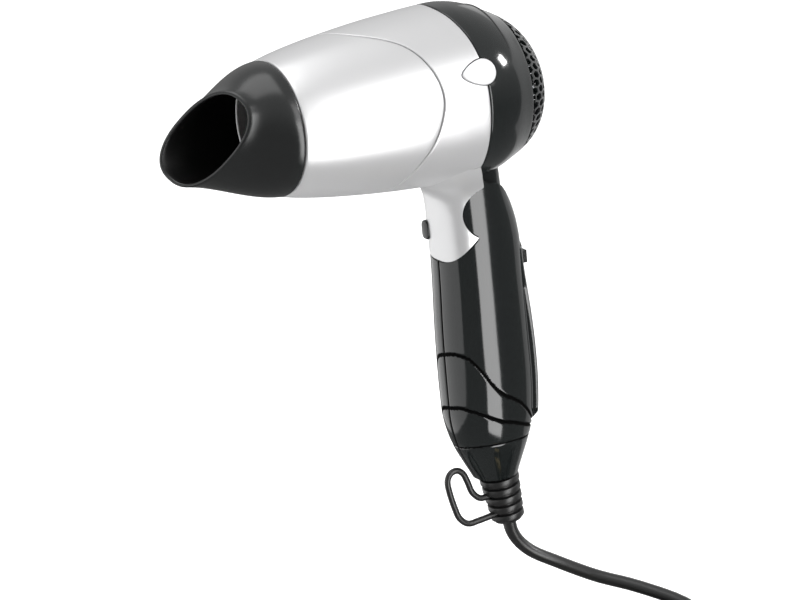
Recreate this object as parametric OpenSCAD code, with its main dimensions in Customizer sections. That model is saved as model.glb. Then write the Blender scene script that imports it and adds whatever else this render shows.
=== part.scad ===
/* [Barrel] */
// Height of the barrel axis above the fold pin
barrel_height = 47; // [44:0.5:52]
// Nose-down pitch of the barrel, in degrees
barrel_pitch = 3.2; // [0:0.1:6]
// Barrel radius at the nozzle end
front_radius = 26.9; // [24:0.1:30]
// Barrel radius at the rear seam
rear_radius = 35.3; // [32:0.1:38]
// Barrel wall
wall = 2.2; // [1.6:0.1:3]
// Nozzle seam, ahead of the fold pin
front_x = -91; // [-100:1:-80]
// Rear seam where it crosses the side
rear_x = -10.3; // [-14:0.1:-6]
// Forward tilt of the rear seam's top, in degrees
seam_tilt = 12.5; // [0:0.1:20]

/* [Nozzle] */
// Middle of the mouth
mouth_x = -122; // [-130:1:-112]
// Long way across the mouth
mouth_length = 42; // [30:1:46]
// Short way across the mouth
mouth_width = 22; // [12:1:30]
// Turn of the mouth about the barrel axis, in degrees
mouth_turn = 36; // [0:1:90]
// Slant of the mouth, in degrees
mouth_slant = 25; // [0:1:30]
// Sweep of the mouth across its short way, in degrees
mouth_sweep = 18; // [0:1:25]

/* [Handle] */
// Backward lean of the handle, in degrees
lean = 5.5; // [0:0.5:10]
// Half depth of the handle, front to back
half_depth = 17.6; // [15:0.1:20]
// Half width of the handle, side to side
half_width = 15.8; // [13:0.1:18]
// Corner radius of the handle's section
corner = 10.4; // [6:0.1:12]
// Length of the handle below the fold pin
handle_length = 112; // [100:1:125]
// Radius of the ears around the fold pin
ear_radius = 11; // [9:0.5:13]
// Half width of the drum between the ears
drum_half = 8.8; // [7:0.1:10]

/* [Cord] */
// Width of the cord
cord_width = 5.9; // [5:0.1:7]
// Thickness of the cord
cord_depth = 4.4; // [3.5:0.1:6]
// Radius of the coil at the middle of its turns
coil_radius = 33; // [30:1:40]

/* [Hidden] */
$fn = 64;
hinge_height = 60;
gap = 0.3;
pin_radius = 3;
bore_clearance = 0.05;
grille_radius = 24.4;
grille_x = 16;
button_x = -13;
button_angle = 25;
button_top = 35.2;
coil_centre = [50, -62];
coil_bottom = -189;
coil_top = -177;
coil_half = 5.5;
relief_start = [13.5, 0, -112];
relief_tilt = 14;
relief_length = 19.5;
relief_end = relief_start + relief_length * [sin(relief_tilt), 0, -cos(relief_tilt)];

// Outer and inner outlines of the barrel and rear dome, as [radius, x]
outer_profile = [
    [front_radius, front_x], [rear_radius - 5.8, -78], [rear_radius - 3, -58], [rear_radius - 0.8, -30],
    [rear_radius, -10], [rear_radius, -4], [rear_radius - 0.9, 2], [rear_radius - 2.8, 7.5],
    [rear_radius - 5.6, 12.5], [rear_radius - 8.4, 16], [grille_radius + 1.2, 18]
];
inner_profile = [
    [grille_radius + 0.2, 18], [grille_radius + 0.2, 14.4], [rear_radius - 8, 11.5], [rear_radius - 5.1, 6.5],
    [rear_radius - 3.2, 1.5], [rear_radius - wall, -4], [rear_radius - wall, -10],
    [rear_radius - 0.8 - wall, -30], [rear_radius - 3 - wall, -58], [rear_radius - 5.8 - wall, -78],
    [front_radius - wall, front_x]
];

// The arched seam between the two silver parts
arch_centre = [-68.5, 4];
arch_radius = 36;

// Route of the cord from the strain relief to the coil
cord_route = [
    relief_end, [20, 0, -136.5], [23.5, -0.5, -141.5], [29, -2, -146], [37, -5, -150], [44.5, -9.5, -153.5],
    [52, -15, -156.5], [63, -26, -159.5], [75, -40, -163.5], [81.5, -52, -169.5], [83.5, -64, -176], [81, -76, -182]
];

// Route of the hang loop's wire, from the relief and back to it
loop_route = [
    [10.5, 0, -120], [7.5, 0, -120.6], [4.5, 0, -120.4], [1.2, 0, -117.6], [-1, 0, -113], [-3, 0, -109.5],
    [-5.8, 0, -107.8], [-8.8, 0, -108.6], [-10.2, 0, -111.8], [-9, 0, -117], [-6.8, 0, -123],
    [-4.5, 0, -127.5], [-0.5, 0, -130.2], [5, 0, -129.6], [12.4, 0, -128.2]
];

silver = [0.78, 0.78, 0.80];
black = [0.05, 0.05, 0.055];
rubber = [0.07, 0.07, 0.07];
steel = [0.66, 0.67, 0.69];
mica = [0.72, 0.62, 0.46];

// Frames: the fold pin, the barrel axis, the leaning handle and a line straight out of the barrel's side
module lift() {
    translate([0, 0, hinge_height]) children();
}
module barrel_frame() {
    lift() translate([0, 0, barrel_height]) rotate([0, -barrel_pitch, 0]) children();
}
module on_barrel() {
    barrel_frame() rotate([0, 90, 0]) children();
}
module on_handle() {
    lift() rotate([0, -lean, 0]) children();
}
module on_side(x, angle) {
    barrel_frame() translate([x, 0, 0]) rotate([90 - angle, 0, 0]) children();
}

// A tube along a route, as one closed polyhedron. Each ring stands across the route.
function unit(v) = v / norm(v);
function ahead(route, i) = unit(route[min(i + 1, len(route) - 1)] - route[max(i - 1, 0)]);
function across(t) = unit(cross(t, [0.02, 0.01, 1]));
function ring_at(p, t, wide, deep, sides) = [
    for (k = [0 : sides - 1])
        let (a = 360 * (k + 0.5) / sides, s = across(t))
        p + wide / 2 * cos(a) * s + deep / 2 * sin(a) * cross(s, t)
];
function blend_point(r, i, f) =
    let (a = r[max(i - 1, 0)], b = r[i], c = r[i + 1], d = r[min(i + 2, len(r) - 1)])
    0.5 * (2 * b + (c - a) * f + (2 * a - 5 * b + 4 * c - d) * f * f + (3 * b - a - 3 * c + d) * f * f * f);
function smooth_route(r, steps) = [
    for (i = [0 : len(r) - 2], j = [0 : steps - 1]) blend_point(r, i, j / steps),
    r[len(r) - 1]
];
module tube(route, wide, deep, sides) {
    rings = len(route);
    points = [for (i = [0 : rings - 1]) each ring_at(route[i], ahead(route, i), wide, deep, sides)];
    walls = [
        for (i = [0 : rings - 2], k = [0 : sides - 1])
            let (a = i * sides + k, b = i * sides + (k + 1) % sides)
            each [[a, b, b + sides], [a, b + sides, a + sides]]
    ];
    start = [for (k = [sides - 1 : -1 : 0]) k];
    end = [for (k = [0 : sides - 1]) (rings - 1) * sides + k];
    polyhedron(points, concat(walls, [start], [end]), convexity = 10);
}

// Shared solids
module profile_solid() {
    on_barrel() rotate_extrude() polygon(concat([[0, front_x]], outer_profile, [[0, 18]]));
}
module profile_hollow() {
    on_barrel() rotate_extrude() polygon(concat(inner_profile, [[0, front_x], [0, 18]]));
}
module housing_shell() {
    on_barrel() rotate_extrude() polygon(concat(outer_profile, inner_profile));
}
module behind_seam(shift) {
    barrel_frame() translate([rear_x + shift, 0, 0]) rotate([0, -seam_tilt, 0])
        translate([0, -60, -80]) cube([120, 120, 160]);
}
module arch_tool(grow) {
    barrel_frame() {
        translate([arch_centre[0], 60, arch_centre[1]]) rotate([90, 0, 0]) cylinder(r = arch_radius + grow, h = 120);
        translate([front_x - 20, -60, -60]) cube([arch_centre[0] - front_x + 20, 120, 120]);
    }
}
module rounded_section(deep, wide, r) {
    translate([-deep + r, -wide]) square([2 * deep - 2 * r, 2 * wide]);
    translate([-deep, -wide + r]) square([2 * deep, 2 * wide - 2 * r]);
    for (x = [-deep + r, deep - r], y = [-wide + r, wide - r]) translate([x, y]) circle(r = r);
}
module teardrop(r) {
    circle(r = r);
    polygon([[0, 0.97 * r], [0, -0.97 * r], [-r, -0.66 * r], [-1.9 * r, -0.14 * r], [-1.9 * r, 0.14 * r], [-r, 0.66 * r]]);
}
module cross_cylinder(r, y0, y1) {
    translate([0, y1, 0]) rotate([90, 0, 0]) cylinder(r = r, h = y1 - y0);
}

// Head: the silver barrel with the front of the neck, its front sleeve, and the black rear casing
module neck_outer() {
    intersection() {
        on_handle() translate([0, 0, -24]) linear_extrude(height = 60) rounded_section(16.3, 14.5, 10);
        lift() translate([-40, -30, -30]) cube([60, 60, 60]);
    }
}
module main_housing() {
    color(silver) difference() {
        union() {
            difference() {
                housing_shell();
                arch_tool(0.15);
            }
            difference() {
                neck_outer();
                profile_solid();
                on_handle() translate([0, 0, -30]) linear_extrude(height = 70) rounded_section(14.1, 12.3, 8);
            }
        }
        behind_seam(0);
        profile_neck_opening();
        on_handle() {
            for (y = [-20, 9.1]) cross_cylinder(ear_radius + 0.35, y, y + 10.9);
            translate([0, 20, 0]) rotate([90, 0, 0]) linear_extrude(height = 40)
                polygon([[-20, -22.5], [-5.5, -9.3], [4, -1], [20, -1], [20, -40], [-20, -40]]);
            translate([-22, -3.3, -13.1]) cube([10, 6.6, 8.2]);
        }
        on_side(button_x, button_angle) translate([0, 0, 26]) linear_extrude(height = 14) teardrop(5.55);
    }
}
module profile_neck_opening() {
    on_handle() translate([-7, -7, 8]) cube([14, 14, 16]);
}
module front_sleeve() {
    color(silver) intersection() {
        housing_shell();
        arch_tool(-0.15);
    }
}
module rear_casing() {
    color(black) {
        difference() {
            union() {
                intersection() {
                    housing_shell();
                    behind_seam(0.15);
                }
                difference() {
                    intersection() {
                        on_handle() translate([0, 0, 0]) linear_extrude(height = 40)
                            rounded_section(12, drum_half, 4);
                        behind_seam(0.15);
                    }
                    profile_solid();
                }
                on_handle() cross_cylinder(ear_radius - 0.3, -drum_half, drum_half);
            }
            on_handle() {
                cross_cylinder(pin_radius + bore_clearance, -20, 20);
                translate([5.5, -3, 4]) cube([3.5, 6, 16]);
            }
            on_side(button_x, button_angle) translate([0, 0, 26]) linear_extrude(height = 14) teardrop(5.55);
        }
    }
}
module intake_grille() {
    pitch = 4.4;
    color(black) on_barrel() translate([0, 0, grille_x]) linear_extrude(height = 1.8) difference() {
        circle(r = grille_radius);
        for (i = [-6 : 6], j = [-6 : 6]) {
            x = (i + j / 2) * pitch;
            y = j * pitch * 0.866;
            if (norm([x, y]) < 20.5) translate([x, y]) rotate(30) circle(r = 2, $fn = 6);
        }
    }
}
module filter_mesh() {
    color(steel) on_barrel() translate([0, 0, 14.2]) linear_extrude(height = 0.6) difference() {
        circle(r = 23);
        for (i = [-5 : 5], j = [-5 : 5]) {
            if (norm([i, j]) < 5.1) translate([i * 4 - 1.7, j * 4 - 1.7]) square(3.4);
        }
    }
}
module side_button() {
    color(silver) on_side(button_x, button_angle) translate([0, 0, button_top - 2.2])
        linear_extrude(height = 2.2) teardrop(5.2);
}
module release_button() {
    color(black) on_handle() {
        translate([-17.2, -3, -12.8]) cube([5, 6, 7.6]);
        translate([-13.7, -4.2, -12.8]) cube([1.2, 8.4, 7.6]);
    }
}

// Air outlet
// One ring of the nozzle: a circle at share 0 and the slanted oval mouth at share 1
function nozzle_ring(x, radius, share, inset, sides) = [
    for (k = [0 : sides - 1])
        let (
            a = 360 * (k + 0.5) / sides,
            half = mouth_width / 2 - inset,
            reach = (mouth_length - mouth_width) / 2 * (cos(a) > 0 ? 1 : -1),
            p = (1 - share) * radius * [cos(a), sin(a)] + share * [reach + half * cos(a), half * sin(a)]
        )
        [
            p[0] * cos(mouth_turn) - p[1] * sin(mouth_turn),
            p[0] * sin(mouth_turn) + p[1] * cos(mouth_turn),
            x - share * (p[0] * tan(mouth_slant) + p[1] * tan(mouth_sweep))
        ]
];
module concentrator_nozzle() {
    sides = 56;
    face = front_x - gap;
    outside = front_radius - 0.3;
    inside = front_radius - 2.4;
    spigot = front_radius - wall - 0.35;
    steps = 5;
    length = face - 4 - mouth_x;
    loops = concat(
        [nozzle_ring(face, outside, 0, 0, sides)],
        [for (i = [0 : steps]) nozzle_ring(face - 4 - length * i / steps, outside, i / steps, 0, sides)],
        [for (i = [steps : -1 : 0]) nozzle_ring(face - 4 - length * i / steps, inside, i / steps, 1.6, sides)],
        [for (x = [face - 1, face + 4.4]) nozzle_ring(x, spigot - 1.4, 0, 0, sides)],
        [for (x = [face + 4.4, face]) nozzle_ring(x, spigot, 0, 0, sides)]
    );
    points = [for (loop = loops) each loop];
    count = len(loops);
    faces = [
        for (i = [0 : count - 1], k = [0 : sides - 1])
            let (
                a = i * sides + k,
                b = i * sides + (k + 1) % sides,
                c = ((i + 1) % count) * sides + (k + 1) % sides,
                d = ((i + 1) % count) * sides + k
            )
            each [[a, b, c], [a, c, d]]
    ];
    color(black) on_barrel() polyhedron(points, faces, convexity = 10);
}
module outlet_grille() {
    color(black) on_barrel() translate([0, 0, front_x + 6]) linear_extrude(height = 2) {
        for (r = [6, 12, 18, 24.2]) difference() {
            circle(r = r);
            circle(r = r - 1.3);
        }
        difference() {
            for (a = [0 : 45 : 135]) rotate(a) translate([-23.4, -0.6]) square([46.8, 1.2]);
            circle(r = 5);
        }
    }
}
module mica_tube() {
    color(mica) on_barrel() translate([0, 0, front_x + 9]) difference() {
        cylinder(r = 21.4, h = 42);
        translate([0, 0, -1]) cylinder(r = 20.8, h = 44);
    }
}
module mica_boards() {
    color(mica) on_barrel() translate([0, 0, front_x + 10]) {
        translate([-16.4, -0.5, 0]) cube([32.8, 1, 38]);
        translate([-0.5, -16.4, 0]) cube([1, 32.8, 38]);
    }
}
module heating_coil() {
    turns = 8;
    steps = 14;
    route = [
        for (i = [0 : turns * steps])
            let (a = 360 * i / steps)
            [17.2 * cos(a), 17.2 * sin(a), front_x + 13 + 4 * i / steps]
    ];
    color(steel) on_barrel() tube(route, 1.1, 1.1, 6);
}
module thermostat() {
    color(steel) on_barrel() {
        translate([3, 0.7, front_x + 16]) cube([9, 4, 10]);
        translate([7.5, 4.7, front_x + 21]) rotate([-90, 0, 0]) cylinder(r = 3.6, h = 2);
    }
}
module thermal_fuse() {
    color(steel) on_barrel() {
        translate([-8, -2.8, front_x + 18]) cylinder(r = 2, h = 11);
        translate([-8, -2.8, front_x + 14]) cylinder(r = 0.5, h = 19);
    }
}

// Motor, fan and their mount
module motor_can() {
    color(steel) on_barrel() {
        translate([0, 0, -34]) cylinder(r = 11.5, h = 25);
        translate([0, 0, -36]) cylinder(r = 4, h = 2);
        for (y = [-7, 5.6]) translate([-1.5, y, -39]) cube([3, 1.4, 5]);
    }
}
module motor_mount() {
    color(black) on_barrel() {
        translate([0, 0, -30]) difference() {
            cylinder(r = 13, h = 22);
            translate([0, 0, -1]) cylinder(r = 11.6, h = 24);
        }
        translate([0, 0, -16]) difference() {
            cylinder(r = 32, h = 19);
            translate([0, 0, -1]) cylinder(r = 31, h = 21);
        }
        for (a = [0 : 60 : 300]) rotate([0, 0, a]) translate([12.4, -0.7, -15.4]) cube([19.1, 1.4, 6.8]);
    }
}
module motor_shaft() {
    color(steel) on_barrel() translate([0, 0, -8.6]) cylinder(r = 1, h = 15);
}
module fan() {
    color(black) on_barrel() {
        difference() {
            translate([0, 0, -3.5]) cylinder(r = 8, h = 9);
            translate([0, 0, -4]) cylinder(r = 1, h = 10);
        }
        for (a = [0 : 51.43 : 310]) rotate([0, 0, a]) translate([18, 0, 1]) rotate([38, 0, 0])
            translate([-10.4, -6, -0.6]) cube([21.4, 12, 1.2]);
    }
}
module rectifier_board() {
    color([0.20, 0.32, 0.16]) on_barrel() translate([0, 0, -41.5]) difference() {
        cylinder(r = 10, h = 1.4);
        translate([0, 0, -1]) cylinder(r = 2, h = 4);
    }
}

// Handle
module handle_form(inset) {
    taper = [
        [0, -handle_length + inset], [10.8 - inset, -handle_length + inset], [14.6 - inset, -107],
        [18 - inset, -99], [20.4 - inset, -90], [22.4 - inset, -80], [24 - inset, -68], [24 - inset, 12], [0, 12]
    ];
    intersection() {
        translate([0.5, 0, -120]) linear_extrude(height = 120)
            rounded_section(half_depth - inset, half_width - inset, corner - inset);
        translate([1, 0, 0]) rotate_extrude() polygon(taper);
    }
}
module handle_shell(side) {
    slit = side < 0 ? -40 : 0;
    color(black) difference() {
        intersection() {
            on_handle() difference() {
                union() {
                    difference() {
                        handle_form(0);
                        handle_form(wall);
                        translate([0, 20, 0]) rotate([90, 0, 0]) linear_extrude(height = 40)
                            polygon([[-30, -30], [-17.5, -20.9], [-5.9, -10.4], [0, 0], [0, 10], [-30, 10]]);
                        translate([16.5, -20, -6]) rotate([0, -30, 0]) cube([20, 40, 20]);
                    }
                    for (y = [-14.6, 9.2]) cross_cylinder(ear_radius, y, y + 5.4);
                    for (z = [-52, -84]) translate([0, 0, z]) cross_cylinder(3.4, -half_width + 1, half_width - 1);
                }
                cross_cylinder(pin_radius, -13, 13);
                translate([-13, -9.2, -20]) cube([40, 18.4, 40]);
                translate([14, -1.8, -38]) cube([8, 3.6, 16]);
                for (z = [-52, -84]) translate([0, 0, z]) {
                    cross_cylinder(1.55, -8, 17);
                    cross_cylinder(2.9, 11, 17);
                }
            }
            translate([-60, slit, -100]) cube([120, 40, 200]);
        }
        lift() translate(relief_start) rotate([0, -relief_tilt, 0]) translate([0, 0, -14]) cylinder(r = 6.2, h = 24);
        lift() translate(relief_start) rotate([0, -relief_tilt, 0]) translate([-30, -30, -40]) cube([60, 60, 40]);
    }
}
module handle_left_shell() {
    handle_shell(-1);
}
module handle_right_shell() {
    handle_shell(1);
}
module hinge_pin() {
    color(steel) on_handle() cross_cylinder(pin_radius, -12.8, 12.8);
}
module rear_panel() {
    color(black) on_handle() difference() {
        intersection() {
            difference() {
                translate([0.5, 0, -75]) linear_extrude(height = 58)
                    rounded_section(half_depth + 0.9, half_width + 0.9, corner + 0.9);
                translate([0.5, 0, -80]) linear_extrude(height = 80) rounded_section(half_depth, half_width, corner);
            }
            translate([8, -10.5, -75]) cube([14, 21, 58]);
        }
        translate([12, -1.8, -38]) cube([10, 3.6, 16]);
    }
}
module switch_knob() {
    color(black) on_handle() {
        translate([19.3, -4, -28.5]) cube([2.2, 8, 5]);
        translate([14.9, -1.4, -27.6]) cube([4.6, 2.8, 3.2]);
    }
}
module switch_body() {
    color(black) on_handle() translate([4, -6, -42]) cube([10.5, 12, 20.5]);
}
module terminal_block() {
    color([0.85, 0.84, 0.78]) on_handle() for (y = [-5.2, 0.2]) difference() {
        translate([5, y, -72]) cube([8, 5, 14]);
        translate([9, y + 2.5, -73]) cylinder(r = 1.2, h = 16);
    }
}
module lead_wires() {
    color([0.55, 0.10, 0.08]) on_handle() for (y = [-2.7, 2.7]) translate([9, y, -57.9]) cylinder(r = 1, h = 15.8);
}
module handle_screws() {
    color(steel) on_handle() for (z = [-52, -84]) translate([0, 0, z]) {
        cross_cylinder(1.5, -6, 11);
        cross_cylinder(2.7, 11, 12.6);
    }
}
module cord_clamp() {
    color(black) on_handle() translate([-3, -8, -98]) cube([12, 16, 4]);
}

// Strain relief, hang loop, cord and plug
module strain_relief() {
    color(rubber) lift() translate(relief_start) rotate([0, 180 - relief_tilt, 0]) {
        translate([0, 0, -9]) cylinder(r = 6, h = 9.2);
        cylinder(r = 4.9, h = relief_length);
        for (i = [0 : 4]) translate([0, 0, 0.2 + i * 4]) cylinder(r = 7.7 - 0.28 * i, h = 2.4);
        translate([0, 0, relief_length - 1.2]) cylinder(r = 6.3, h = 1.2);
    }
}
module hang_loop() {
    color(rubber) lift() tube(smooth_route(loop_route, 3), 2.4, 2.4, 8);
}
module power_cord() {
    color(rubber) lift() tube(smooth_route(cord_route, 3), cord_width, cord_depth, 10);
}
module cord_coil() {
    color(rubber) lift() translate([coil_centre[0], coil_centre[1], coil_bottom]) rotate_extrude()
        translate([coil_radius - coil_half, 0]) square([2 * coil_half, coil_top - coil_bottom]);
}
module coil_tie() {
    inner = [2 * coil_half + 0.4, coil_top - coil_bottom + 0.4];
    color(black) lift()
        translate([coil_centre[0] - 4, coil_centre[1] - coil_radius, (coil_top + coil_bottom) / 2])
        rotate([90, 0, 90]) linear_extrude(height = 8) difference() {
            square(inner + [1.6, 1.6], center = true);
            square(inner, center = true);
        }
}
module plug_body() {
    outline = [
        [-17, -15], [-14, -17.5], [4, -17.5], [12, -12], [18, -7], [18, 7], [12, 12], [4, 17.5], [-14, 17.5], [-17, 15]
    ];
    color(black) lift() translate([coil_centre[0], coil_centre[1], coil_top]) {
        linear_extrude(height = 13.5) polygon(outline);
        translate([17, 0, 3.4]) rotate([0, 96, 0]) cylinder(r = 3.2, h = 15);
    }
}
module plug_pins() {
    color(steel) lift() for (y = [-9.5, 9.5])
        translate([coil_centre[0] - 36, coil_centre[1] + y, coil_top + 6.7]) rotate([0, 90, 0]) cylinder(r = 2.4, h = 19);
}

main_housing();
front_sleeve();
rear_casing();
intake_grille();
filter_mesh();
side_button();
release_button();
concentrator_nozzle();
outlet_grille();
mica_tube();
mica_boards();
heating_coil();
thermostat();
thermal_fuse();
motor_can();
motor_mount();
motor_shaft();
fan();
rectifier_board();
handle_left_shell();
handle_right_shell();
hinge_pin();
rear_panel();
switch_knob();
switch_body();
terminal_block();
lead_wires();
handle_screws();
cord_clamp();
strain_relief();
hang_loop();
power_cord();
cord_coil();
coil_tie();
plug_body();
plug_pins();
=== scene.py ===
"""Travel hair dryer: the looks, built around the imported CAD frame.

Lengths are millimetres from the fold pin, in frames that lean with the barrel or the handle.
"""

import math

import bmesh
import bpy
import numpy as np
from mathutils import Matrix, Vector


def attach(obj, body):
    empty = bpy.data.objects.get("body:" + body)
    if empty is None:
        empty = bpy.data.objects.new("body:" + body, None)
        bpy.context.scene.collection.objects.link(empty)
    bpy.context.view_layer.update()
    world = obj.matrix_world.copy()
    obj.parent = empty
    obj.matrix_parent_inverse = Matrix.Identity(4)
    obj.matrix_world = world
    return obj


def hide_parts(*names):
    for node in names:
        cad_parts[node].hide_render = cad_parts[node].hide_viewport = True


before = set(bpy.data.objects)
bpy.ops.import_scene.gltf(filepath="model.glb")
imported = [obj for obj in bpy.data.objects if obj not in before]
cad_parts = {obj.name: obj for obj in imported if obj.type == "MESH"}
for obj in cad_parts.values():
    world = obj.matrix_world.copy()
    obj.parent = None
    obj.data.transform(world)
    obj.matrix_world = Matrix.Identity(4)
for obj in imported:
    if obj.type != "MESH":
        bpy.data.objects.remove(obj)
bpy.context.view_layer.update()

PIN_HEIGHT = 60.0
BARREL_HEIGHT = 47.0
BARREL_PITCH = math.radians(3.2)
LEAN = math.radians(5.5)
FRONT_X = -91.0
WALL = 2.2
FLOOR_Z = -190.0
VIEW_AZIMUTH = math.radians(-32)
VIEW_ELEVATION = math.radians(15)
VIEW_DISTANCE = 4000.0
VIEW_WIDTH = 312.0
PIN_RIGHT_OF_CENTRE = 27.3
PIN_ABOVE_CENTRE = 37.908
SENSOR_WIDTH = 36


# Frames
def to_world(points):
    points = np.asarray(points, float)
    return (points + np.array([0, 0, PIN_HEIGHT])) / 1000


def turned(points, angle):
    points = np.asarray(points, float)
    x, y, z = points[..., 0], points[..., 1], points[..., 2]
    c, s = math.cos(angle), math.sin(angle)
    return np.stack([x * c - z * s, y, x * s + z * c], -1)


def on_barrel(points):
    return turned(points, BARREL_PITCH) + np.array([0, 0, BARREL_HEIGHT])


def on_handle(points):
    return turned(points, LEAN)


# Camera, at the photograph's angle
def place_camera():
    away = np.array([
        math.sin(VIEW_AZIMUTH) * math.cos(VIEW_ELEVATION),
        -math.cos(VIEW_AZIMUTH) * math.cos(VIEW_ELEVATION),
        math.sin(VIEW_ELEVATION),
    ])
    right = np.array([math.cos(VIEW_AZIMUTH), math.sin(VIEW_AZIMUTH), 0])
    up = np.cross(right, -away)
    target = -right * PIN_RIGHT_OF_CENTRE - up * PIN_ABOVE_CENTRE
    data = bpy.data.cameras.new("camera")
    data.sensor_width = SENSOR_WIDTH
    data.lens = VIEW_DISTANCE / VIEW_WIDTH * SENSOR_WIDTH
    data.clip_end = 20
    camera = bpy.data.objects.new("camera", data)
    bpy.context.scene.collection.objects.link(camera)
    camera.location = Vector(to_world(target + away * VIEW_DISTANCE))
    camera.rotation_euler = Vector(-away).to_track_quat("-Z", "Y").to_euler()
    bpy.context.scene.camera = camera


place_camera()


# Mesh helpers
def make_object(name, verts, faces, sharp=35):
    mesh = bpy.data.meshes.new(name)
    mesh.from_pydata([tuple(v) for v in verts], [], faces)
    mesh.validate()
    mesh.update()
    shade(mesh, sharp)
    obj = bpy.data.objects.new(name.replace(" ", "_"), mesh)
    bpy.context.scene.collection.objects.link(obj)
    return obj


def shade(mesh, sharp):
    mesh.polygons.foreach_set("use_smooth", [True] * len(mesh.polygons))
    mesh.set_sharp_from_angle(angle=math.radians(sharp))


def grid_object(name, grid, close_rows=False, caps=False, sharp=35):
    """A mesh over rows of points that run round, already in the world. caps close the first and last row."""
    rows, columns = grid.shape[:2]
    row_pairs = rows if close_rows else rows - 1
    faces = []
    for i in range(row_pairs):
        for k in range(columns):
            a, b = i * columns + k, i * columns + (k + 1) % columns
            c, d = ((i + 1) % rows) * columns + (k + 1) % columns, ((i + 1) % rows) * columns + k
            faces.append((a, b, c, d))
    if caps:
        faces.append(tuple(range(columns - 1, -1, -1)))
        faces.append(tuple((rows - 1) * columns + k for k in range(columns)))
    obj = make_object(name, grid.reshape(-1, 3), faces, sharp)
    return outward(obj)


def outward(obj):
    work = bmesh.new()
    work.from_mesh(obj.data)
    bmesh.ops.recalc_face_normals(work, faces=work.faces)
    work.to_mesh(obj.data)
    work.free()
    return obj


def smooth_curve(xs, ys, x):
    """A smooth line through given points, with finite-difference slopes."""
    xs, ys, x = np.asarray(xs, float), np.asarray(ys, float), np.asarray(x, float)
    slopes = np.gradient(ys, xs)
    i = np.clip(np.searchsorted(xs, x) - 1, 0, len(xs) - 2)
    h = xs[i + 1] - xs[i]
    t = np.clip((x - xs[i]) / h, 0, 1)
    a, b = ys[i], ys[i + 1]
    return (
        a * (1 + 2 * t) * (1 - t) ** 2 + b * t * t * (3 - 2 * t)
        + h * slopes[i] * t * (1 - t) ** 2 + h * slopes[i + 1] * t * t * (t - 1)
    )


def smooth_route(points, steps):
    points = np.asarray(points, float)
    padded = np.vstack([2 * points[0] - points[1], points, 2 * points[-1] - points[-2]])
    out = []
    for i in range(1, len(padded) - 2):
        a, b, c, d = padded[i - 1:i + 3]
        for t in np.arange(steps) / steps:
            linear = (c - a) * t
            square = (2 * a - 5 * b + 4 * c - d) * t * t
            cube = (3 * b - a - 3 * c + d) * t ** 3
            out.append(0.5 * (2 * b + linear + square + cube))
    out.append(points[-1])
    return np.array(out)


def tube(name, route, section, caps=True, sharp=60, upright=(0.02, 0.01, 1)):
    """A tube along a route. section is a list of (sideways, upward) offsets."""
    route = np.asarray(route, float)
    ahead = np.gradient(route, axis=0)
    ahead /= np.linalg.norm(ahead, axis=1)[:, None]
    side = np.cross(ahead, np.array(upright, float))
    side /= np.linalg.norm(side, axis=1)[:, None]
    rise = np.cross(side, ahead)
    section = np.asarray(section, float)
    grid = route[:, None] + section[None, :, :1] * side[:, None] + section[None, :, 1:] * rise[:, None]
    return grid_object(name, to_world(grid), caps=caps, sharp=sharp)


def cut(obj, *tools):
    """Takes the tools away from obj, and removes them."""
    for tool in tools:
        modifier = obj.modifiers.new("cut", "BOOLEAN")
        modifier.operation = "DIFFERENCE"
        modifier.solver = "MANIFOLD"
        modifier.object = tool
    apply_modifiers(obj)
    for tool in tools:
        bpy.data.objects.remove(tool)
    return obj


def apply_modifiers(obj, sharp=35):
    bpy.context.view_layer.update()
    graph = bpy.context.evaluated_depsgraph_get()
    mesh = bpy.data.meshes.new_from_object(obj.evaluated_get(graph))
    obj.modifiers.clear()
    old = obj.data
    obj.data = mesh
    bpy.data.meshes.remove(old)
    shade(mesh, sharp)


def block(name, low, high, place):
    """A box between two corners in a frame such as on_handle."""
    low, high = np.array(low, float), np.array(high, float)
    corners = [
        np.where([i & 1, i & 2, i & 4], high, low) for i in range(8)
    ]
    faces = [(0, 2, 3, 1), (4, 5, 7, 6), (0, 1, 5, 4), (2, 6, 7, 3), (0, 4, 6, 2), (1, 3, 7, 5)]
    return make_object(name, to_world(place(np.array(corners))), faces)


def prism(name, outline, y0, y1, place):
    """An outline in x and z, carried along y."""
    outline = np.asarray(outline, float)
    rows = [np.stack([outline[:, 0], np.full(len(outline), y), outline[:, 1]], -1) for y in (y0, y1)]
    return grid_object(name, to_world(place(np.array(rows))), caps=True)


def circle_outline(radius, count=96, centre=(0, 0)):
    a = np.arange(count) * 2 * math.pi / count
    return np.stack([centre[0] + radius * np.cos(a), centre[1] + radius * np.sin(a)], -1)


def give(obj, body, material, slot, *nodes):
    obj.data.materials.clear()
    obj.data.materials.append(material)
    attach(obj, body)
    if nodes:
        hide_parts(*nodes)
    return obj


# Materials
def make_material(name, colour, metallic=0.0, roughness=0.4, grain=0.0, scale=900.0, specular=0.5):
    material = bpy.data.materials.new(name)
    material.use_nodes = True
    tree = material.node_tree
    shader = tree.nodes["Principled BSDF"]
    shader.inputs["Base Color"].default_value = (*colour, 1)
    shader.inputs["Metallic"].default_value = metallic
    shader.inputs["Roughness"].default_value = roughness
    shader.inputs["Specular IOR Level"].default_value = specular
    if grain:
        noise = tree.nodes.new("ShaderNodeTexNoise")
        noise.inputs["Scale"].default_value = scale
        noise.inputs["Detail"].default_value = 3
        bump = tree.nodes.new("ShaderNodeBump")
        bump.inputs["Strength"].default_value = grain
        bump.inputs["Distance"].default_value = 0.0002
        where = tree.nodes.new("ShaderNodeTexCoord")
        tree.links.new(where.outputs["Object"], noise.inputs["Vector"])
        tree.links.new(noise.outputs["Fac"], bump.inputs["Height"])
        tree.links.new(bump.outputs["Normal"], shader.inputs["Normal"])
    return material


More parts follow.
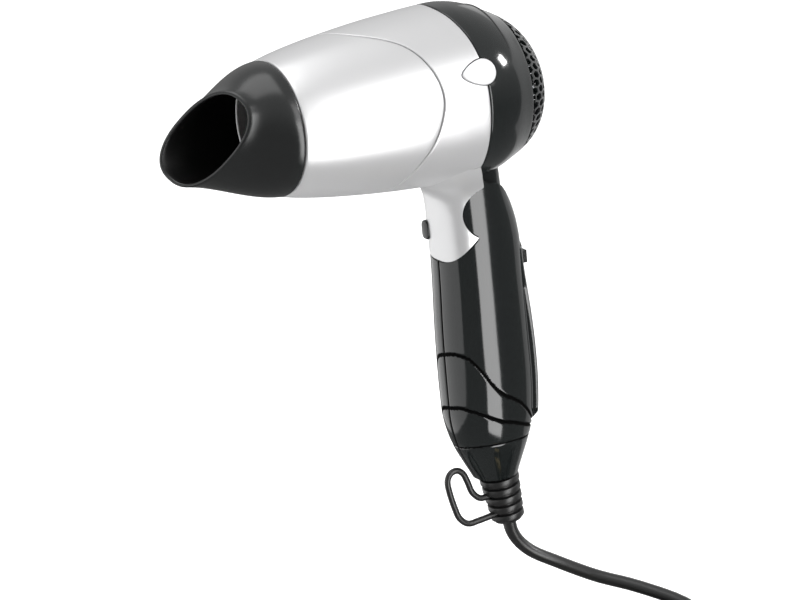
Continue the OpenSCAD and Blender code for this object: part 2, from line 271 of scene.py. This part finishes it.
SILVER = make_material(
    "silver paint", (0.62, 0.62, 0.625), metallic=0.5, roughness=0.36, grain=0.03, scale=2500,
)
BUTTON = make_material("button silver", (0.86, 0.86, 0.87), metallic=0.2, roughness=0.35)
GLOSS = make_material("gloss black", (0.009, 0.011, 0.011), roughness=0.11)
# Painted shade: a darker, matte black that barely reflects, laid in the handle's grooves and along its
# parting line
PAINTED_GROOVE_SHADE = make_material("painted groove shade", (0.002, 0.002, 0.002), roughness=0.9, specular=0.05)
# Painted shade: a darker, duller black for the inside of the nozzle, which is the same satin plastic as the
# outside
PAINTED_INSIDE_SHADE = make_material("painted inside shade", (0.004, 0.004, 0.004), roughness=0.5, specular=0.2)
SATIN = make_material("satin black", (0.010, 0.011, 0.011), roughness=0.27, grain=0.04)
RUBBER = make_material("rubber", (0.012, 0.012, 0.012), roughness=0.38, grain=0.08)
STEEL = make_material("steel", (0.55, 0.56, 0.58), metallic=1.0, roughness=0.3)
MICA = make_material("mica", (0.50, 0.40, 0.26), roughness=0.6, grain=0.2)
BOARD = make_material("board", (0.04, 0.14, 0.04), roughness=0.5)
CREAM = make_material("terminal", (0.70, 0.68, 0.60), roughness=0.5)
RED = make_material("lead", (0.40, 0.04, 0.03), roughness=0.5)
BRASS = make_material("brass", (0.75, 0.60, 0.30), metallic=1.0, roughness=0.25)

NODE_MATERIALS = {
    "main_housing": SILVER, "front_sleeve": SILVER, "side_button": BUTTON, "rear_casing": GLOSS,
    "handle_left_shell": GLOSS, "handle_right_shell": GLOSS, "rear_panel": GLOSS, "intake_grille": SATIN,
    "release_button": SATIN, "concentrator_nozzle": SATIN, "outlet_grille": SATIN, "motor_mount": SATIN,
    "fan": SATIN, "switch_knob": SATIN, "switch_body": SATIN, "cord_clamp": SATIN, "mica_tube": MICA,
    "mica_boards": MICA, "heating_coil": STEEL, "filter_mesh": STEEL, "thermostat": STEEL,
    "thermal_fuse": STEEL, "motor_can": STEEL, "motor_shaft": STEEL, "hinge_pin": STEEL,
    "handle_screws": STEEL, "rectifier_board": BOARD, "terminal_block": CREAM, "lead_wires": RED,
    "strain_relief": RUBBER, "hang_loop": RUBBER, "power_cord": RUBBER, "cord_coil": RUBBER,
    "coil_tie": SATIN, "plug_body": RUBBER, "plug_pins": BRASS,
}
for node_name, node_material in NODE_MATERIALS.items():
    node_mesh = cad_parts[node_name].data
    node_mesh.materials.clear()
    node_mesh.materials.append(node_material)
    shade(node_mesh, 30)

# Cord: out of the strain relief, down to the coil, nine turns, and up into the plug
COIL_CENTRE = (50.0, -62.0)
COIL_TURNS = [
    (35.8, -179.0), (35.8, -183.0), (35.8, -187.0), (30.3, -187.0), (30.3, -183.0), (30.3, -179.0),
    (24.8, -183.5), (24.8, -187.0), (24.8, -179.5),
]
RELIEF_START = np.array([13.5, 0, -112.0])
RELIEF_TILT = math.radians(14)
RELIEF_LENGTH = 19.5
RELIEF_DOWN = np.array([math.sin(RELIEF_TILT), 0, -math.cos(RELIEF_TILT)])
RELIEF_END = RELIEF_START + RELIEF_LENGTH * RELIEF_DOWN
CORD_ROUTE = [
    RELIEF_END, (20, 0, -136.5), (23.5, -0.5, -141.5), (29, -2, -146), (37, -5, -150), (44.5, -9.5, -153.5),
    (52, -15, -156.5), (63, -26, -159.5), (75, -40, -164.5), (82.5, -50, -172),
]

PLUG_ROUTE = [(80, -47, -174.5), (90, -50, -172.5), (94, -58, -172.5), (89, -62, -174), (81, -62, -175.5)]


def cord_line():
    points = [np.array(p, float) for p in CORD_ROUTE]
    for turn, (radius, height) in enumerate(COIL_TURNS):
        after = COIL_TURNS[min(turn + 1, len(COIL_TURNS) - 1)]
        for step in range(16):
            share = step / 16
            ease = max(0.0, (share - 0.75) / 0.25)
            r = radius + (after[0] - radius) * ease
            z = height + (after[1] - height) * ease
            angle = -2 * math.pi * share
            x, y = COIL_CENTRE[0] + r * math.cos(angle), COIL_CENTRE[1] + r * math.sin(angle)
            points.append(np.array([x, y, z]))
    points = points[:-2]
    points += [np.array(p, float) for p in PLUG_ROUTE]
    return smooth_route(points, 4)


CORD_LINE = cord_line()
CORD_SECTION = [
    (2.95 * math.cos(a), 2.5 * math.sin(a))
    for a in np.arange(20) * 2 * math.pi / 20
]
cord = tube("cord", CORD_LINE, CORD_SECTION)
give(cord, "handle", RUBBER, "cord_rubber", "power_cord", "cord_coil")
[float(v) for v in to_world(RELIEF_END)]
[[float(v) for v in p] for p in to_world(CORD_LINE)]

# Barrel: a convex turned form, split by the arched seam and the tilted rear seam
PROFILE_X = [-91, -85, -78, -68, -58, -45, -30, -20, -10, -4, 2, 7.5, 12.5, 16, 20, 22.5, 24.5, 25.8, 26.3]
PROFILE_R = [
    26.9, 28.3, 29.6, 31.1, 32.3, 33.6, 34.6, 35.1, 35.2, 34.5,
    32.8, 30.3, 27.9, 25.7, 22.0, 18.5, 13.5, 7, 0,
]
REAR_ANGLES = [-180, -150, -120, -90, -70, -45, -25, 0, 25, 45, 70, 90, 120, 150, 180]
REAR_HALF = [-10.5, -11.2, -12.2, -12.7, -12.8, -13.6, -15.4]
REAR_X = REAR_HALF + [-17.3] + REAR_HALF[::-1]
GRILLE_X = 11.0
DOME_DROOP = 0.065
ARCH_ANGLES = [-90, -60, -35, -18, 10, 37, 63, 77, 92, 106, 122, 140, 162, 185, 210, 240, 270]
ARCH_X = [
    -79, -76, -71, -65, -56.5, -40.5, -33.5, -32.5, -34.5,
    -37.5, -42, -46.5, -50.5, -56, -63, -73, -79,
]


def barrel_radius(x):
    return smooth_curve(PROFILE_X, PROFILE_R, x)


def arch_seam(angle):
    degrees = (np.degrees(angle) + 90) % 360 - 90
    return smooth_curve(ARCH_ANGLES, ARCH_X, degrees)


def rear_seam(angle):
    degrees = (np.degrees(angle) + 180) % 360 - 180
    return smooth_curve(REAR_ANGLES, REAR_X, degrees)


def droop(x):
    """The dome hangs a little below the barrel's axis."""
    return -DOME_DROOP * np.maximum(0, np.asarray(x, float) + 10)


def barrel_shell(name, front, back, count=288):
    """The part of the barrel between two seams, as a closed shell with softly rounded edges."""
    angle = np.arange(count) * 2 * math.pi / count
    near = np.array([0, 0.06, 0.16, 0.3, 0.5])
    start, end = front(angle), back(angle)
    inner = np.linspace(0, 1, 30)[1:-1]
    rows = []
    for s in near:
        rows.append((start + s, s))
    for t in inner:
        rows.append((start + 0.5 + (end - start - 1.0) * t, 1.0))
    for s in near[::-1]:
        rows.append((end - s, s))
    loops = []
    for x, s in rows:
        drop = 0.5 - math.sqrt(max(0, 0.25 - (0.5 - min(s, 0.5)) ** 2))
        loops.append((x, barrel_radius(x) - drop))
    for t in np.linspace(1, 0, 8):
        x = start + (end - start) * t
        loops.append((x, barrel_radius(x) - WALL))
    grid = np.array([
        np.stack([x, -r * np.sin(angle), r * np.cos(angle) + droop(x)], -1) for x, r in loops
    ])
    return grid_object(name, to_world(on_barrel(grid)), close_rows=True, sharp=40)


def level(x):
    return lambda angle: np.full_like(angle, x)


sleeve = barrel_shell("front sleeve skin", level(FRONT_X), lambda a: arch_seam(a) - 0.24)
give(sleeve, "head", SILVER, "silver", "front_sleeve")
housing = barrel_shell("main housing skin", lambda a: arch_seam(a) + 0.24, lambda a: rear_seam(a) - 0.14)
casing = barrel_shell("rear casing skin", lambda a: rear_seam(a) + 0.14, level(GRILLE_X))


# Neck of the silver housing, flaring into the barrel
def rounded_loop(front, back, half_width, power=2.9, count=96):
    a = np.arange(count) * 2 * math.pi / count
    c, s = np.cos(a), np.sin(a)
    x = np.where(c > 0, back, front) * np.sign(c) * np.abs(c) ** (2 / power)
    y = -half_width * np.sign(s) * np.abs(s) ** (2 / power)
    return np.stack([x, y], -1)


def stacked(name, levels, place, count=96, power=2.9, caps=True):
    """A closed form through (height, front, back, half width) levels."""
    rows = []
    for z, front, back, half in levels:
        loop = rounded_loop(front, back, half, power, count)
        rows.append(np.stack([loop[:, 0], loop[:, 1], np.full(count, z)], -1))
    return grid_object(name, to_world(place(np.array(rows))), caps=caps)


NECK_LEVELS = [
    (-26, 16.2, 16, 14.7), (-12, 16.4, 16, 14.7), (0, 16.7, 16, 14.7), (5, 17.1, 16, 15.1),
    (8, 17.8, 16, 15.9), (10.5, 19.3, 16, 17.2), (12.5, 22.0, 17, 18.8), (14.5, 25.5, 18, 20.6),
    (18, 28, 18, 23.5), (22, 28, 18, 25.5),
]
neck = stacked("neck", NECK_LEVELS, on_handle)
neck_hollow = stacked("hollow", [(-30, 14, 20, 12.4), (8, 14, 20, 12.4)], on_handle)
seam_block = prism(
    "seam block", [
        (-2, -40), (-2, 2), (-2.6, 8), (-4.2, 12), (-7, 17), (-8.9, 22), (-11, 26),
        (-12.2, 32), (-12.2, 60), (60, 60), (60, -40),
    ], -60, 60, on_handle,
)
ear_tools = [
    prism("ear tool", circle_outline(11.5), side * 8.95, side * 20, on_handle) for side in (-1, 1)
]
lip_outline = [(-20, -22.3), (-17, -20.3), (-5.3, -9.2), (4, -1), (20, -1), (20, -40), (-20, -40)]
lip_tool = prism("lip tool", lip_outline, -20, 20, on_handle)


def barrel_core():
    """The space inside the barrel, kept clear for the motor and the fan."""
    angle = np.arange(96) * 2 * math.pi / 96
    grid = np.array([
        np.stack([np.full(96, x), -r * np.sin(angle), r * np.cos(angle) + droop(x)], -1)
        for x, r in ((x, float(barrel_radius(x)) - WALL) for x in np.linspace(-80, 20, 50))
    ])
    return grid_object("barrel core", to_world(on_barrel(grid)), caps=True)


cut(neck, neck_hollow, seam_block, *ear_tools, lip_tool, barrel_core())
give(neck, "head", SILVER, "silver")


# Teardrop button and its hole
BUTTON_X = -13.0
BUTTON_ANGLE = math.radians(25)


def on_side(points):
    points = np.asarray(points, float)
    x, a, out = points[..., 0], points[..., 1], points[..., 2]
    y = -out * math.cos(BUTTON_ANGLE) + a * math.sin(BUTTON_ANGLE)
    z = out * math.sin(BUTTON_ANGLE) + a * math.cos(BUTTON_ANGLE)
    return on_barrel(np.stack([x + BUTTON_X, y, z], -1))


def teardrop(radius, inset=0.0, count=64):
    a = np.arange(count) * 2 * math.pi / count
    r = radius - inset
    c, s = np.cos(a), np.sin(a)
    x = np.where(c < 0, c * (1.85 * radius - inset), c * r)
    y = s * r * np.where(c < 0, (1 - np.abs(c) ** 1.6 * 0.34), 1)
    return np.stack([x, y], -1)


def side_form(name, levels, radius):
    rows = []
    for inset, out in levels:
        outline = teardrop(radius, inset)
        rows.append(np.stack([outline[:, 0], outline[:, 1], np.full(len(outline), out)], -1))
    return grid_object(name, to_world(on_side(np.array(rows))), caps=True)


cut(housing, side_form("hole", [(0, 27), (0, 40)], 5.6))
cut(casing, side_form("hole", [(0, 27), (0, 40)], 5.6))
give(housing, "head", SILVER, "silver", "main_housing")
BUTTON_LEVELS = [(0, 33.1), (0, 35.0), (0.15, 35.35), (0.5, 35.65), (1.2, 35.85), (3.0, 36.0)]
button = side_form("side button cap", BUTTON_LEVELS, 5.2)
give(button, "side_button", BUTTON, "button_silver", "side_button")

# Rear casing with its tail and the drum round the pin
TAIL_LEVELS = [(22, 6, 11.0, 8.6), (14, 6, 11.5, 8.6), (6, 6, 12, 8.7), (0, 4, 11, 8.7)]
tail = stacked("tail", TAIL_LEVELS, on_handle, power=3.4)
cut(tail, barrel_core())
drum = prism("drum", circle_outline(10.6), -8.8, 8.8, on_handle)
give(casing, "head", GLOSS, "gloss_black", "rear_casing")
give(tail, "head", GLOSS, "gloss_black")
give(drum, "head", GLOSS, "gloss_black")


# Intake grille: a domed honeycomb
DOME_REACH = [0, 7, 13.5, 18.5, 22.0, 25.7, 27.9, 29.6]
DOME_X = [26.3, 25.8, 24.5, 22.5, 20, 16, 12.5, 9.0]
GRILLE_RIM = 28.4


def dome_x(distance):
    return smooth_curve(DOME_REACH, DOME_X, distance)


def dome_point(y, z, sink=0.0):
    """A point of the dome above (y, z), kept inside the grille's rim and sunk by some millimetres."""
    far = math.hypot(y, z)
    if far > GRILLE_RIM:
        y, z, far = y * GRILLE_RIM / far, z * GRILLE_RIM / far, GRILLE_RIM
    x = float(dome_x(far))
    slope = float(dome_x(far + 0.1) - dome_x(max(0.0, far - 0.1))) / (0.1 + min(far, 0.1))
    tilt = math.atan(-slope)
    radial = sink * math.sin(tilt) / max(far, 0.001)
    return x - sink * math.cos(tilt), y - y * radial, z - z * radial + float(droop(x))



def honeycomb(pitch=3.3, wall_share=0.30):
    """Hexagon cells with rounded-off walls, laid over the dome."""
    verts, faces = [], []
    span = int(GRILLE_RIM / pitch) + 4
    for i in range(-2 * span, 2 * span + 1):
        for j in range(-span, span + 1):
            centre = np.array([(i + j / 2) * pitch, j * pitch * math.sqrt(3) / 2])
            if np.linalg.norm(centre) > GRILLE_RIM + 0.3 * pitch:
                continue
            base = len(verts)
            inside = 1.0 - wall_share
            for size, sink in ((1.0, 0.0), (1.0 - wall_share * 0.8, 0.05), (inside, 0.35), (inside, 1.6)):
                for k in range(6):
                    a = math.pi / 6 + k * math.pi / 3
                    p = centre + pitch / math.sqrt(3) * size * np.array([math.cos(a), math.sin(a)])
                    verts.append(dome_point(p[0], p[1], sink))
            for ring in range(3):
                for k in range(6):
                    n = (k + 1) % 6
                    low, high = base + 6 * ring, base + 6 * ring + 6
                    faces.append((low + k, low + n, high + n, high + k))
    return np.array(verts), faces


comb_verts, comb_faces = honeycomb()
comb = make_object("intake grille skin", to_world(on_barrel(comb_verts)), comb_faces)
outward(comb)
give(comb, "head", GLOSS, "black_plastic", "intake_grille")

# Nozzle: from a round collar to a slanted oval mouth
MOUTH_X = -120.2
MOUTH_TURN = math.radians(36)
MOUTH_SLANT = 0.476
MOUTH_NEAR_SLANT = 0.34
MOUTH_RISE = 1.2
MOUTH_LENGTH = 42.0
MOUTH_WIDTH = 25.5


def nozzle_loop(x, radius, share, inset, count=160):
    a = (np.arange(count) + 0.5) * 2 * math.pi / count
    half = MOUTH_WIDTH / 2 - inset
    long_way = MOUTH_LENGTH / 2 - inset
    u = (1 - share) * radius * np.cos(a) + share * long_way * np.sign(np.cos(a)) * np.abs(np.cos(a)) ** 0.86
    v = (1 - share) * radius * np.sin(a) + share * half * np.sign(np.sin(a)) * np.abs(np.sin(a)) ** 0.86
    up = u * math.cos(MOUTH_TURN) - v * math.sin(MOUTH_TURN) + share * MOUTH_RISE
    side = -u * math.sin(MOUTH_TURN) - v * math.cos(MOUTH_TURN)
    along = x + share * (u * MOUTH_SLANT + v * MOUTH_NEAR_SLANT)
    return np.stack([along, side, up], -1)


def nozzle_skin():
    face = FRONT_X - 0.3
    edge = ((0, 26.0), (0.12, 26.45), (0.5, 26.7))
    loops = [nozzle_loop(face - ahead, radius, 0, 0) for ahead, radius in edge]
    depth = face - 0.5 - MOUTH_X
    for t in np.linspace(0, 1, 40)[1:]:
        share = t * t * (3 - 2 * t) * 0.35 + t * 0.65
        bulge = 1.4 * math.sin(math.pi * min(1, t * 1.15)) if t < 0.87 else 0.0
        loops.append(nozzle_loop(face - 0.5 - depth * t, 26.7 + bulge, share, 0))
    for x, inset in ((-0.35, 0.25), (-0.5, 0.7), (-0.45, 1.1), (-0.15, 1.35)):
        loops.append(nozzle_loop(MOUTH_X + x, 20, 1, inset))
    for t in np.linspace(0.97, 0, 20):
        share = t * t * (3 - 2 * t) * 0.35 + t * 0.65
        loops.append(nozzle_loop(face - 0.5 - depth * t, 24.6, share, 1.5))
    obj = grid_object("nozzle skin", to_world(on_barrel(np.array(loops))), close_rows=True, sharp=50)
    give(obj, "nozzle", SATIN, "black_plastic", "concentrator_nozzle")
    # The inner faces past the mouth's lip get the painted inside shade
    obj.data.materials.append(PAINTED_INSIDE_SHADE)
    for face in obj.data.polygons:
        if min(face.vertices) // 160 >= len(loops) - 21:
            face.material_index = 1


nozzle_skin()


# Handle: one loft with its parting line and grooves, cut for the neck and the tail
FRONT_D = [-14, 0, 12, 29, 51, 79, 84, 91, 98.6, 106, 113]
FRONT_DEPTH = [17.0, 17.0, 17.1, 17.3, 18, 18, 17.9, 16.9, 14.7, 11.2, 7.6]
BACK_D = [-14, -8, -4, 0, 6, 12, 29, 51, 75, 84, 91, 95, 102, 108.7, 113]
BACK_DEPTH = [10.5, 11.8, 13, 14.3, 16.0, 17.0, 17.5, 18, 18, 17.4, 16.4, 15.3, 13, 10.7, 9.4]
WIDTH_D = [-14, 0, 12, 29, 51, 79, 91, 98.6, 106, 113]
HALF_WIDTH = [14.0, 14.7, 15.2, 15.6, 16.1, 16.1, 15.1, 13.3, 10.8, 8.3]
GROOVES = [
    ([-180, -135, -90, -60, -32, -20, -5, 28, 45, 60, 75, 90, 105, 120, 135, 180],
     [92, 89, 80, 75, 69, 62, 59, 57.2, 59, 64, 70.7, 76.4, 80.4, 85, 89, 92]),
    ([-180, -135, -90, -60, -32, -20, 0, 20, 45, 90, 105, 135, 180],
     [93, 92, 90, 89, 87.5, 83, 80.5, 79.2, 80.5, 87, 89, 91.8, 93]),
    ([-180, -90, 0, 45, 90, 135, 180], [96, 96, 97.2, 95.6, 95.4, 95.8, 96]),
]


def handle_section(d, degrees):
    """Points round the handle at d below the pin. 0 degrees is the front and 90 the near side."""
    a = np.radians(degrees)
    power = 2.45 - 0.3 * max(0, min(1, (d - 86) / 24))
    c, s = np.cos(a), np.sin(a)
    depth = np.where(c > 0, smooth_curve(FRONT_D, FRONT_DEPTH, d), smooth_curve(BACK_D, BACK_DEPTH, d))
    x = -depth * np.sign(c) * np.abs(c) ** (2 / power)
    y = -smooth_curve(WIDTH_D, HALF_WIDTH, d) * np.sign(s) * np.abs(s) ** (2 / power)
    return x, y


def handle_skin():
    degrees = np.concatenate([
        np.linspace(-180, -3, 92),
        [-2.2, -1.5, -0.9, -0.4, 0, 0.4, 0.9, 1.5, 2.2],
        np.linspace(3, 180, 92)[:-1],
    ])
    rows, dents = [], []
    for d in np.arange(-13, 112.6, 0.36):
        x, y = handle_section(d, degrees)
        dent = 0.45 * np.exp(-((degrees / 1.0) ** 2)) * (1.0 if d > 15 else 0.0)
        for groove, (angles, depths) in enumerate(GROOVES):
            line = smooth_curve(angles, depths, degrees)
            deep, wide = ((0.7, 0.5), (0.7, 0.5), (0.3, 0.35))[groove]
            dent = np.maximum(dent, deep * np.exp(-(((d - line) / wide) ** 2)))
        shrink = 1 - dent / np.hypot(x, y)
        rows.append(np.stack([0.5 + x * shrink, y * shrink, np.full(len(degrees), -d)], -1))
        dents.append(dent)
    obj = grid_object("handle skin", to_world(on_handle(np.array(rows))), caps=True, sharp=50)
    obj.data.materials.append(GLOSS)
    obj.data.materials.append(PAINTED_GROOVE_SHADE)
    dents = np.array(dents)
    columns = len(degrees)
    # Faces in the grooves and along the parting line get the painted groove shade
    for face in list(obj.data.polygons)[:-2]:
        if max(dents[v // columns, v % columns] for v in face.vertices) > 0.22:
            face.material_index = 1
    return obj


ear_outline = [(-30, 20), (-30, -32), (-17.6, -21.0), (-5.9, -10.6)]
ear_outline += [
    (11.0 * math.cos(a), 11.0 * math.sin(a)) for a in np.radians(np.arange(236, 89, -4))
]
ear_outline += [(0, 20)]
top_tool = prism("top tool", ear_outline, -22, 22, on_handle)
crown_tool = prism("crown tool", [
    (-0.6, 10.97), (2.5, 10.7), (5, 9.8), (7.6, 7.95), (9.9, 4.8), (12.0, 1.0),
    (15.6, -5), (24, -5), (24, 22), (-0.6, 22),
], -22, 22, on_handle)
slot_tool = block("slot tool", (-14, -9.2, -17), (30, 9.2, 30), on_handle)
foot_tool = block(
    "foot tool", (-40, -40, -40), (40, 40, 0.2),
    lambda p: turned(p, RELIEF_TILT) + RELIEF_START,
)
handle = handle_skin()
cut(handle, top_tool, crown_tool, slot_tool, foot_tool)
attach(handle, "handle")
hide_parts("handle_left_shell", "handle_right_shell")


def rear_panel_skin():
    """A thin cover that follows the back of the handle, slotted for the switch."""
    degrees = np.linspace(138, 222, 40)
    rows = []
    for d in np.linspace(18, 90, 120):
        edge = min(1.0, (d - 17.4) / 3, (90.6 - d) / 5)
        x, y = handle_section(d, 180 + (degrees - 180) * (0.72 + 0.28 * edge))
        rise = max(0.0, min(1.0, (d - 18) / 42))
        proud = 0.5 + 1.5 * rise * rise * (3 - 2 * rise)
        sides = np.clip(np.minimum(degrees - 137.5, 222.5 - degrees) / 3, 0, 1)
        out = proud * sides * min(1, edge * 1.6)
        grow, shrink = 1 + out / np.hypot(x, y), 1 - 0.6 / np.hypot(x, y)
        outer = np.stack([0.5 + x * grow, y * grow, np.full(40, -d)], -1)
        inner = np.stack([0.5 + x * shrink, y * shrink, np.full(40, -d)], -1)
        rows.append(np.vstack([outer, inner[::-1]]))
    panel = grid_object("rear panel skin", to_world(on_handle(np.array(rows))), caps=True, sharp=40)
    return cut(panel, block("switch slot", (10, -1.8, -38), (30, 1.8, -22), on_handle))


give(rear_panel_skin(), "handle", GLOSS, "gloss_black", "rear_panel")


def release_button_skin():
    """A small pad on the far front corner of the neck."""
    rows = []
    for x, inset in ((-13.0, 0), (-16.4, 0), (-16.8, 0.25), (-17.0, 0.8)):
        loop = rounded_loop(2.4 - inset, 2.4 - inset, 3.8 - inset, 3.2, 40)
        rows.append(np.stack([np.full(40, x), 8.0 + loop[:, 0], -9.0 + loop[:, 1]], -1))
    return grid_object("release button skin", to_world(on_handle(np.array(rows))), caps=True)


give(release_button_skin(), "release_button", SATIN, "black_plastic", "release_button")


# Strain relief: stepped rings with grooves between them
def relief_skin():
    def place(points):
        points = np.asarray(points, float)
        down = points * np.array([1, 1, -1])
        return turned(down, RELIEF_TILT) + RELIEF_START
    profile = [(0, -8), (5.9, -8), (5.9, 0.2)]
    for i in range(5):
        r = 7.9 - 0.30 * i
        z = 0.35 + 3.85 * i
        for dr, dz in ((0.5, 0), (0.12, 0.12), (0, 0.45), (0, 2.1), (0.12, 2.45), (0.5, 2.6)):
            profile.append((r - dr, z + dz))
        if i < 4:
            profile += [(r - 1.9, z + 2.7), (r - 1.9, z + 3.75)]
    profile += [(5.4, 19.4), (3.0, 19.5), (0, 19.5)]
    a = np.arange(72) * 2 * math.pi / 72
    rows = [np.stack([r * np.cos(a), r * np.sin(a), np.full(72, z)], -1) for r, z in profile if r > 0]
    body = grid_object("strain relief skin", to_world(place(np.array(rows))), caps=True, sharp=40)
    return body


give(relief_skin(), "handle", RUBBER, "rubber", "strain_relief")

LOOP_ROUTE = [
    (10.5, 0, -120), (7.5, 0, -120.6), (4.5, 0, -120.4), (1.2, 0, -117.6), (-1, 0, -113), (-3, 0, -109.5),
    (-5.8, 0, -107.8), (-8.8, 0, -108.6), (-10.2, 0, -111.8), (-9, 0, -117), (-6.8, 0, -123),
    (-4.5, 0, -127.5), (-0.5, 0, -130.2), (5, 0, -129.6), (12.4, 0, -128.2),
]
LOOP_RADIUS = 1.25
LOOP_SECTION = [
    (LOOP_RADIUS * math.cos(a), LOOP_RADIUS * math.sin(a)) for a in np.arange(16) * 2 * math.pi / 16
]
loop = tube("hang loop skin", smooth_route(LOOP_ROUTE, 8), LOOP_SECTION, upright=(0.0, 1, 0.001))
give(loop, "handle", RUBBER, "rubber", "hang_loop")


# Floor and light
def make_floor():
    size = 6.0
    z = (FLOOR_Z + PIN_HEIGHT) / 1000 - 0.0004
    corners = [(-size, -size, z), (size, -size, z), (size, size, z), (-size, size, z)]
    floor = make_object("floor", corners, [(0, 1, 2, 3)])
    floor.data.materials.append(make_material("floor white", (0.93, 0.93, 0.93), roughness=0.9, specular=0.1))
    glow = floor.data.materials[0].node_tree.nodes["Principled BSDF"]
    glow.inputs["Emission Color"].default_value = (1, 1, 1, 1)
    glow.inputs["Emission Strength"].default_value = 0.45
    floor.visible_glossy = False


def softbox(name, direction, distance, width, height, radiance, only_gloss=False):
    """A rectangular lamp facing the dryer. only_gloss lamps show in reflections alone."""
    direction = Vector(direction).normalized()
    data = bpy.data.lights.new(name, "AREA")
    data.shape = "RECTANGLE"
    data.size = width
    data.size_y = height
    data.energy = radiance * math.pi * width * height
    lamp = bpy.data.objects.new(name, data)
    bpy.context.scene.collection.objects.link(lamp)
    lamp.location = Vector((0, 0, 0.06)) + direction * distance
    lamp.rotation_euler = (-direction).to_track_quat("-Z", "Y").to_euler()
    lamp.visible_diffuse = not only_gloss


def make_world():
    world = bpy.data.worlds.new("studio")
    bpy.context.scene.world = world
    world.use_nodes = True
    tree = world.node_tree
    background = tree.nodes["Background"]
    where = tree.nodes.new("ShaderNodeTexCoord")
    split = tree.nodes.new("ShaderNodeSeparateXYZ")
    ramp = tree.nodes.new("ShaderNodeValToRGB")
    spread = tree.nodes.new("ShaderNodeMapRange")
    spread.inputs["From Min"].default_value = -1
    spread.inputs["From Max"].default_value = 1
    stops = [(0.0, 0.25), (0.40, 0.20), (0.52, 0.34), (0.70, 0.62), (1.0, 0.7)]
    while len(ramp.color_ramp.elements) < len(stops):
        ramp.color_ramp.elements.new(0.5)
    for element, (position, value) in zip(ramp.color_ramp.elements, stops):
        element.position = position
        element.color = (value, value, value, 1)
    tree.links.new(where.outputs["Generated"], split.inputs["Vector"])
    tree.links.new(split.outputs["Z"], spread.inputs["Value"])
    tree.links.new(spread.outputs["Result"], ramp.inputs["Fac"])
    tree.links.new(ramp.outputs["Color"], background.inputs["Color"])
    background.inputs["Strength"].default_value = 1.0


make_floor()
make_world()
softbox("near strip", (0.156, -0.988, -0.20), 1.5, 0.80, 1.7, 7.5, only_gloss=True)
softbox("front sheet", (-0.77, 0.64, -0.20), 1.5, 4.4, 1.5, 1.3, only_gloss=True)
softbox("rear sheet", (0.94, 0.34, -0.10), 1.5, 2.0, 1.7, 0.55, only_gloss=True)
softbox("dome spot", (0.795, -0.34, 0.49), 1.5, 0.22, 0.22, 50, only_gloss=True)
softbox("key", (0.35, -0.80, 0.50), 2.2, 1.2, 1.2, 3.3)
softbox("top sheet", (-0.30, 0.1, 0.95), 2.2, 2.2, 1.8, 2.4)
bpy.context.scene.view_settings.view_transform = "Standard"
